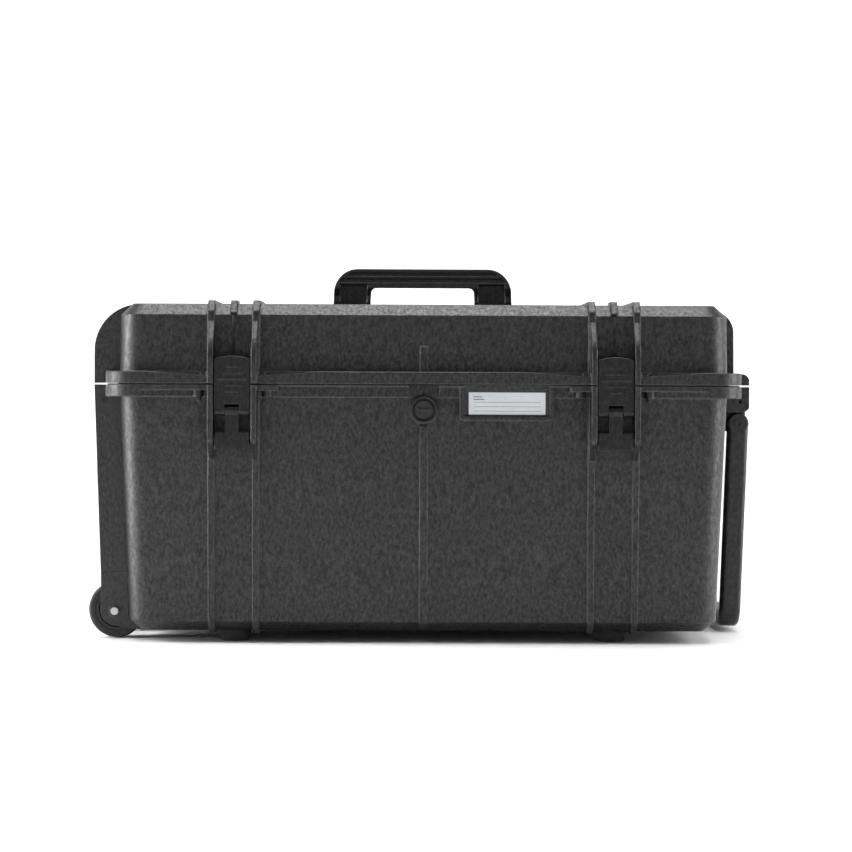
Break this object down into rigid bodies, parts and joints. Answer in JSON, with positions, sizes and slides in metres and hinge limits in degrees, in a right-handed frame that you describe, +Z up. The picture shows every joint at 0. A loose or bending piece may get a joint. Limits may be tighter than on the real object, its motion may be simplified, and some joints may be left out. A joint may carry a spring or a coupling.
{
  "type": "drone carrying case",
  "caption": "Black wheeled hard case for a drone, with a ribbed hinged lid, draw latches, folding handles, a telescopic trolley handle, a pressure valve and foam inside.",
  "frame": {"origin": "on the ground, under the middle of the case's bounding box", "axes": "+X towards the side-handle end, +Y towards the hinges at the back, +Z up; the latches face -Y and the wheels are at the -X end"},
  "size_m": [0.6916, 0.528, 0.3898],
  "materials": {
    "shell_plastic": "moulded black polypropylene, fine grained texture, satin",
    "latch_plastic": "smooth satin black nylon",
    "handle_plastic": "semi-gloss black nylon, faint mould grain",
    "cover_plastic": "moulded black polypropylene, finer grain than the shell",
    "valve_plastic": "satin black nylon",
    "button_plastic": "satin dark grey",
    "hub_plastic": "satin black nylon",
    "bush_plastic": "natural acetal",
    "clear_plastic": "clear polycarbonate, slightly hazy",
    "card": "white card with ruled grey lines",
    "foot_rubber": "matt black rubber",
    "seal_rubber": "matt black neoprene",
    "membrane": "white breathable membrane",
    "steel": "zinc plated, brushed",
    "black_steel": "black oxide",
    "axle_steel": "bright turned end",
    "tube_aluminium": "anodised satin",
    "tyre": "matt black soft tyre",
    "foam": "open-cell black polyurethane foam"
  },
  "bodies": {
    "base": {"base_shell": "shell_plastic", "latch_base_pins": "steel", "hinge_pins": "steel", "valve_body": "valve_plastic", "valve_nut": "valve_plastic", "valve_membrane": "membrane", "label_window": "clear_plastic", "name_card": "card", "rubber_feet": "foot_rubber", "foot_screws": "steel", "trolley_cover": "cover_plastic", "trolley_cover_screws": "black_steel", "trolley_outer_tubes": "tube_aluminium", "wheel_bracket_front": "cover_plastic", "wheel_bracket_rear": "cover_plastic", "axle_front": "axle_steel", "axle_rear": "axle_steel", "axle_clips": "steel", "side_handle_pins": "black_steel", "foam_floor_pad": "foam", "foam_tray": "foam"},
    "lid": {"lid_shell": "shell_plastic", "lid_seal": "seal_rubber", "lid_foam": "foam", "top_handle_brackets": "cover_plastic", "top_handle_pins": "steel", "top_handle_screws": "steel"},
    "top_handle": {"top_handle": "handle_plastic"},
    "side_handle": {"side_handle": "handle_plastic"},
    "latch_left_link": {"latch_left_link": "latch_plastic"},
    "latch_left_lever": {"latch_left_lever": "latch_plastic", "latch_left_lever_pin": "steel"},
    "latch_right_link": {"latch_right_link": "latch_plastic"},
    "latch_right_lever": {"latch_right_lever": "latch_plastic", "latch_right_lever_pin": "steel"},
    "trolley_stage_1": {"trolley_stage_1_tubes": "tube_aluminium"},
    "trolley_stage_2": {"trolley_stage_2_tubes": "tube_aluminium"},
    "trolley_stage_3": {"trolley_stage_3_tubes": "tube_aluminium", "trolley_grip": "handle_plastic", "button_spring": "steel"},
    "trolley_button": {"trolley_button": "button_plastic", "release_rods": "steel"},
    "wheel_front": {"wheel_front_hub": "hub_plastic", "wheel_front_tyre": "tyre", "wheel_front_bush": "bush_plastic"},
    "wheel_rear": {"wheel_rear_hub": "hub_plastic", "wheel_rear_tyre": "tyre", "wheel_rear_bush": "bush_plastic"},
    "valve_knob": {"valve_knob": "valve_plastic"}
  },
  "joints": [
    {"name": "lid_hinge", "type": "hinge", "parent": "base", "child": "lid", "pos_m": [0, 0.256, 0.2608], "axis": [-1, 0, 0], "range_deg": [0, 100]},
    {"name": "top_handle_fold", "type": "hinge", "parent": "lid", "child": "top_handle", "pos_m": [0, 0, 0.3475], "axis": [-1, 0, 0], "range_deg": [0, 88]},
    {"name": "side_handle_swing", "type": "hinge", "parent": "base", "child": "side_handle", "pos_m": [0.3358, 0, 0.2227], "axis": [0, -1, 0], "range_deg": [0, 95]},
    {"name": "latch_left_draw", "type": "hinge", "parent": "base", "child": "latch_left_link", "pos_m": [-0.192, -0.25, 0.2073], "axis": [1, 0, 0], "range_deg": [0, 35]},
    {"name": "latch_left_pull", "type": "hinge", "parent": "latch_left_link", "child": "latch_left_lever", "pos_m": [-0.192, -0.2565, 0.2358], "axis": [1, 0, 0], "range_deg": [0, 95]},
    {"name": "latch_right_draw", "type": "hinge", "parent": "base", "child": "latch_right_link", "pos_m": [0.192, -0.25, 0.2073], "axis": [1, 0, 0], "range_deg": [0, 35]},
    {"name": "latch_right_pull", "type": "hinge", "parent": "latch_right_link", "child": "latch_right_lever", "pos_m": [0.192, -0.2565, 0.2358], "axis": [1, 0, 0], "range_deg": [0, 95]},
    {"name": "trolley_slide_1", "type": "slide", "parent": "base", "child": "trolley_stage_1", "axis": [0, 0, 1], "range_m": [0, 0.165]},
    {"name": "trolley_slide_2", "type": "slide", "parent": "trolley_stage_1", "child": "trolley_stage_2", "axis": [0, 0, 1], "range_m": [0, 0.165]},
    {"name": "trolley_slide_3", "type": "slide", "parent": "trolley_stage_2", "child": "trolley_stage_3", "axis": [0, 0, 1], "range_m": [0, 0.165]},
    {"name": "trolley_button_press", "type": "slide", "parent": "trolley_stage_3", "child": "trolley_button", "axis": [0, 0, -1], "range_m": [0, 0.0035], "stiffness_N_per_m": 300, "springref_m": -0.004, "deforming": ["button_spring"]},
    {"name": "wheel_front_spin", "type": "hinge", "parent": "base", "child": "wheel_front", "pos_m": [-0.3153, -0.171, 0.0298], "axis": [0, 1, 0], "continuous": true},
    {"name": "wheel_rear_spin", "type": "hinge", "parent": "base", "child": "wheel_rear", "pos_m": [-0.3153, 0.171, 0.0298], "axis": [0, 1, 0], "continuous": true},
    {"name": "valve_knob_turn", "type": "hinge", "parent": "base", "child": "valve_knob", "pos_m": [0, -0.24, 0.2378], "axis": [0, -1, 0], "range_deg": [0, 90]}
  ]
}
